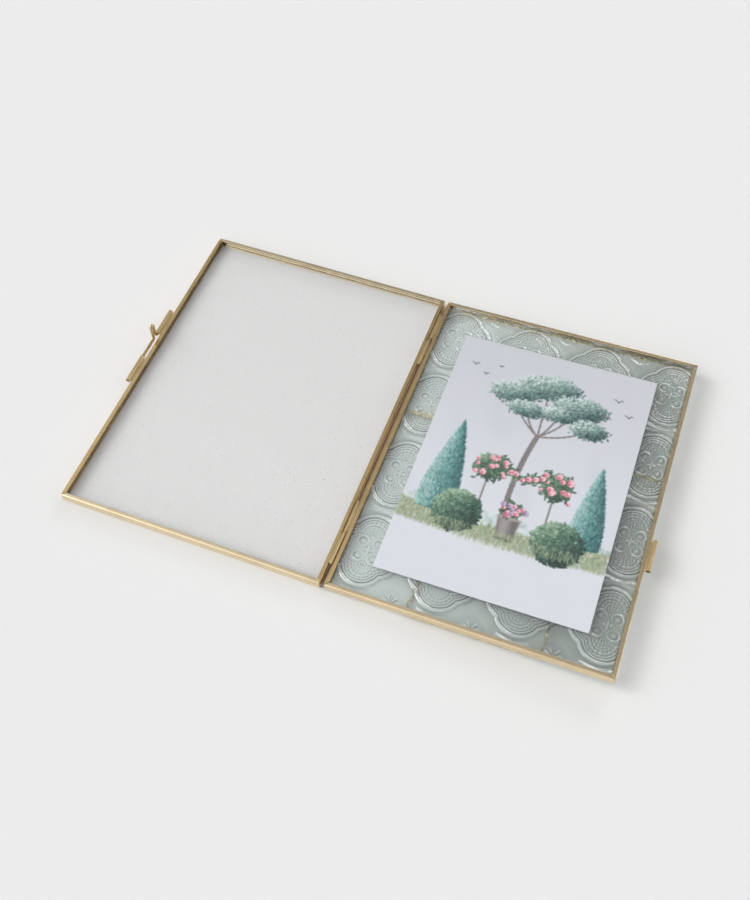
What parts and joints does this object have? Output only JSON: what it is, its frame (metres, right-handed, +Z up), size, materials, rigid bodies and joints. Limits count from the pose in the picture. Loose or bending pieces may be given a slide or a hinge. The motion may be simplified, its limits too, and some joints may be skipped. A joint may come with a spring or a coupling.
{
  "type": "hinged floating picture frame",
  "caption": "Folding brass-edged floating picture frame: clear and pressed glass leaves hinged like a book, with a wire latch and easel strut.",
  "frame": {"origin": "middle of the open frame's footprint, on the surface it lies on and just beside the hinge line", "axes": "+Z up; +Y along the hinge towards the frame's top edge; +X from the hinge across the back leaf"},
  "size_m": [0.243, 0.158, 0.0138],
  "materials": {
    "rail_brass": "satin, lightly brushed along the rail",
    "tube_brass": "satin",
    "wire_brass": "smooth drawn wire",
    "clear_glass": "polished",
    "pressed_glass": "pressed scalloped relief",
    "card": "matt printed card"
  },
  "bodies": {
    "back_leaf": {"back_top_rail": "rail_brass", "back_bottom_rail": "rail_brass", "back_hinge_rail": "rail_brass", "back_latch_rail": "rail_brass", "pressed_glass": "pressed_glass", "back_upper_knuckle": "tube_brass", "back_lower_knuckle": "tube_brass", "catch_tube": "tube_brass", "strut_bar": "wire_brass"},
    "front_leaf": {"front_top_rail": "rail_brass", "front_bottom_rail": "rail_brass", "front_hinge_rail": "rail_brass", "front_latch_rail": "rail_brass", "clear_glass": "clear_glass", "front_upper_knuckle": "tube_brass", "front_lower_knuckle": "tube_brass", "upper_hinge_pin": "wire_brass", "lower_hinge_pin": "wire_brass", "upper_guide_tube": "tube_brass", "lower_guide_tube": "tube_brass"},
    "latch_bolt": {"latch_bolt": "wire_brass"},
    "strut": {"strut_loop": "wire_brass", "strut_inner_sleeve": "tube_brass", "strut_outer_sleeve": "tube_brass"},
    "picture_card": {"picture_card": "card"}
  },
  "joints": [
    {"name": "leaf_hinge", "type": "hinge", "parent": "back_leaf", "child": "front_leaf", "pos_m": [0.00004, 0, 0.0048], "axis": [0, 1, 0], "range_deg": [0, 178]},
    {"name": "latch_slide", "type": "slide", "parent": "front_leaf", "child": "latch_bolt", "axis": [0, -1, 0], "range_m": [0, 0.009]},
    {"name": "strut_hinge", "type": "hinge", "parent": "back_leaf", "child": "strut", "pos_m": [0.06264, 0.0145, 0.0028], "axis": [0.9994, 0, 0.0349], "range_deg": [0, 35]},
    {"name": "card_lift", "type": "slide", "parent": "back_leaf", "child": "picture_card", "axis": [-0.0349, 0, 0.9994], "range_m": [0, 0.0024]}
  ]
}
